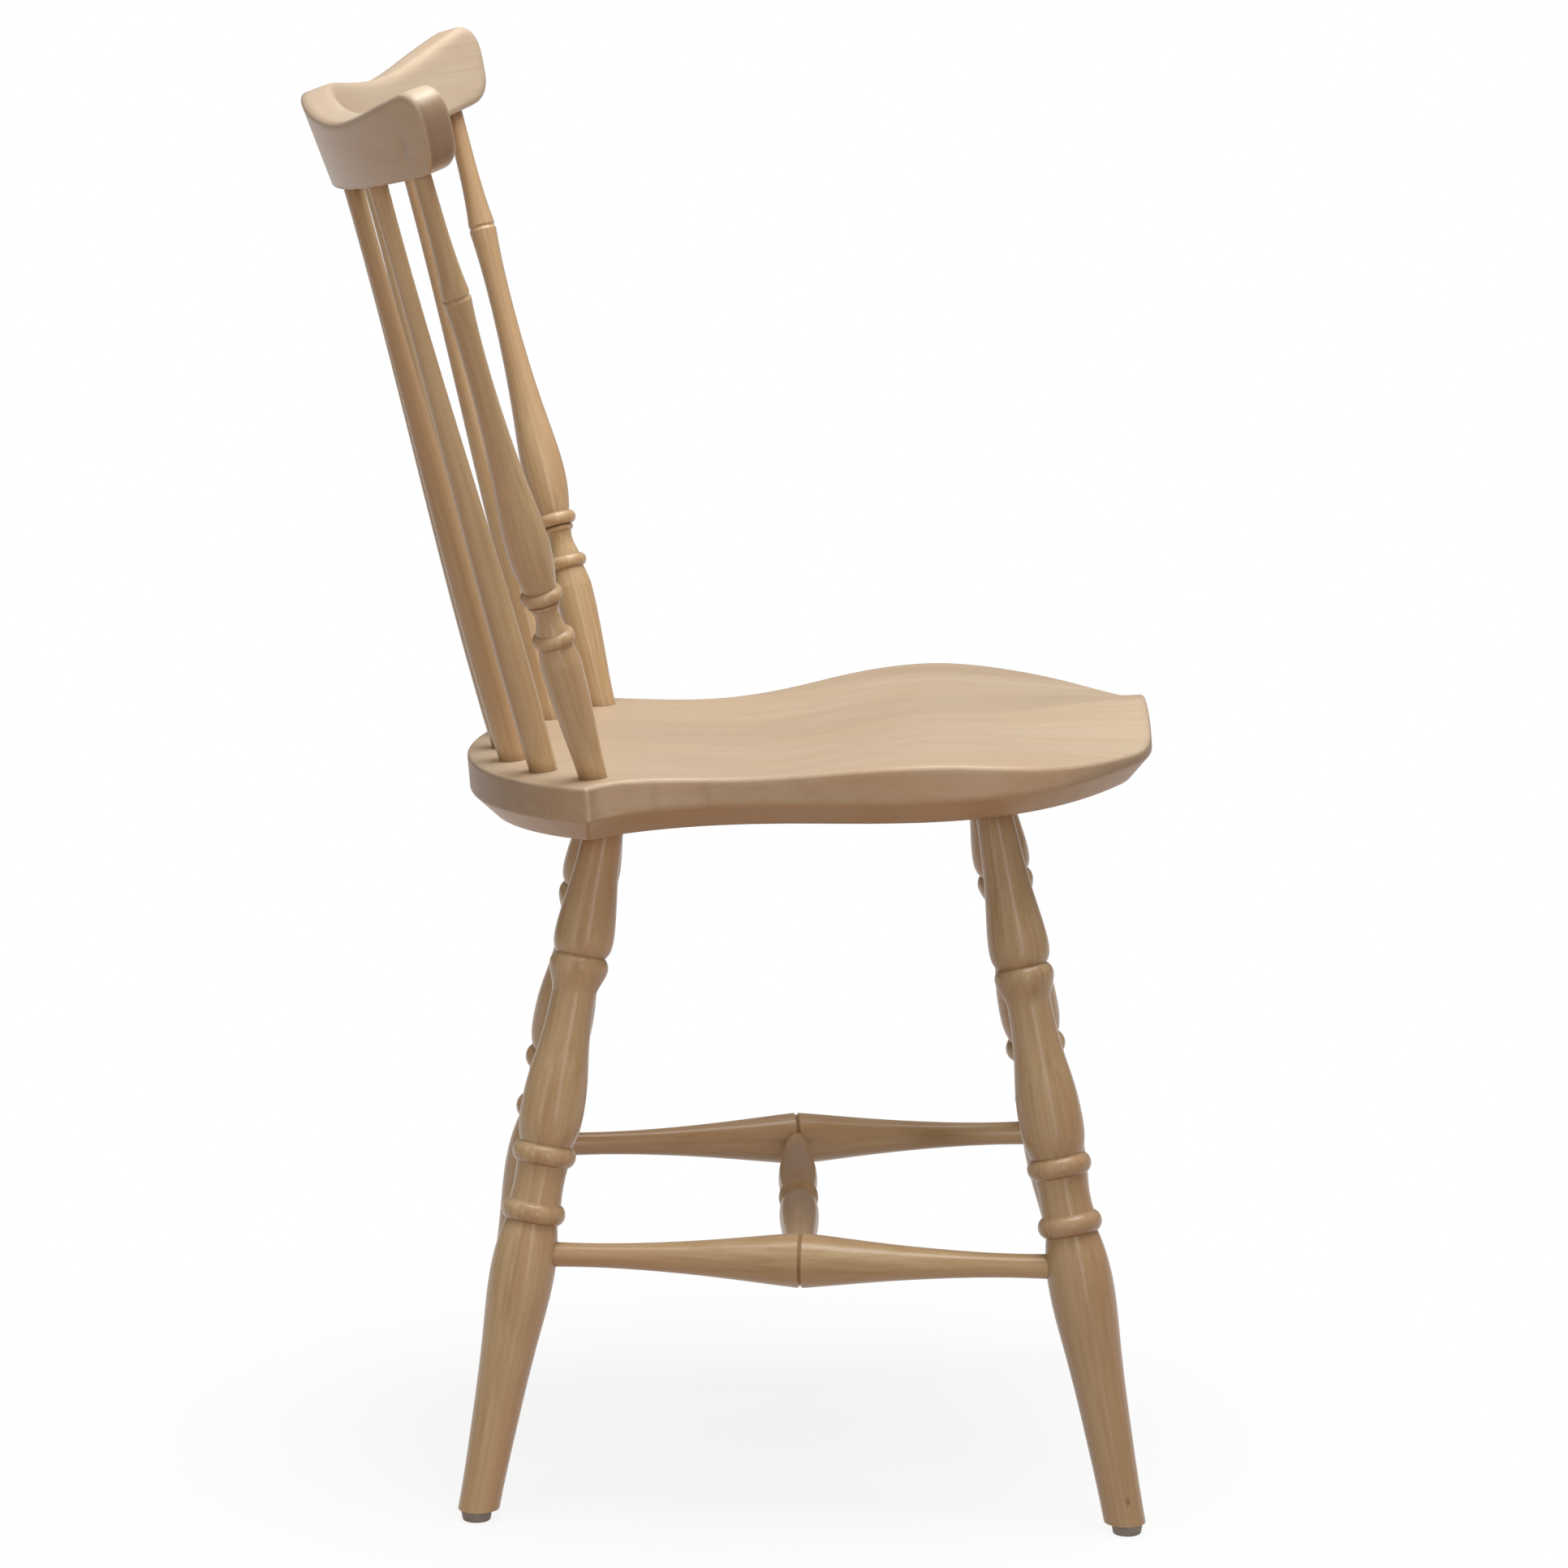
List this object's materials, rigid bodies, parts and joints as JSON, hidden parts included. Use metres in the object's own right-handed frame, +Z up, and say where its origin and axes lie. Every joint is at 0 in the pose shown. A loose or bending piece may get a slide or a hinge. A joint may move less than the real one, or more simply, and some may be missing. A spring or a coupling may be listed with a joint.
{
  "type": "windsor chair",
  "caption": "Windsor side chair with a shaped wooden plank seat, splayed turned legs joined by stretchers, and a spindle back under a bent crest rail.",
  "frame": {"origin": "centre of the chair's bounding box, on the floor under the glides", "axes": "+Z up, -Y the front of the seat, X across the chair"},
  "size_m": [0.4708, 0.5159, 0.8707],
  "materials": {
    "plank_wood": "pale natural wood under satin clear lacquer",
    "turned_wood": "pale natural wood under satin clear lacquer, grain along the turned axis",
    "glide_plastic": "grey-brown moulded plastic",
    "nail_steel": "plain steel"
  },
  "bodies": {
    "root": {"seat": "plank_wood", "crest_rail": "plank_wood", "leg_front_left": "turned_wood", "leg_front_right": "turned_wood", "leg_rear_left": "turned_wood", "leg_rear_right": "turned_wood", "side_stretcher_left": "turned_wood", "side_stretcher_right": "turned_wood", "cross_stretcher": "turned_wood", "back_post_left": "turned_wood", "back_post_right": "turned_wood", "spindle_1": "turned_wood", "spindle_2": "turned_wood", "spindle_3": "turned_wood", "spindle_4": "turned_wood", "spindle_5": "turned_wood", "glide_front_left": "glide_plastic", "glide_front_right": "glide_plastic", "glide_rear_left": "glide_plastic", "glide_rear_right": "glide_plastic", "glide_nails": "nail_steel"}
  },
  "joints": []
}
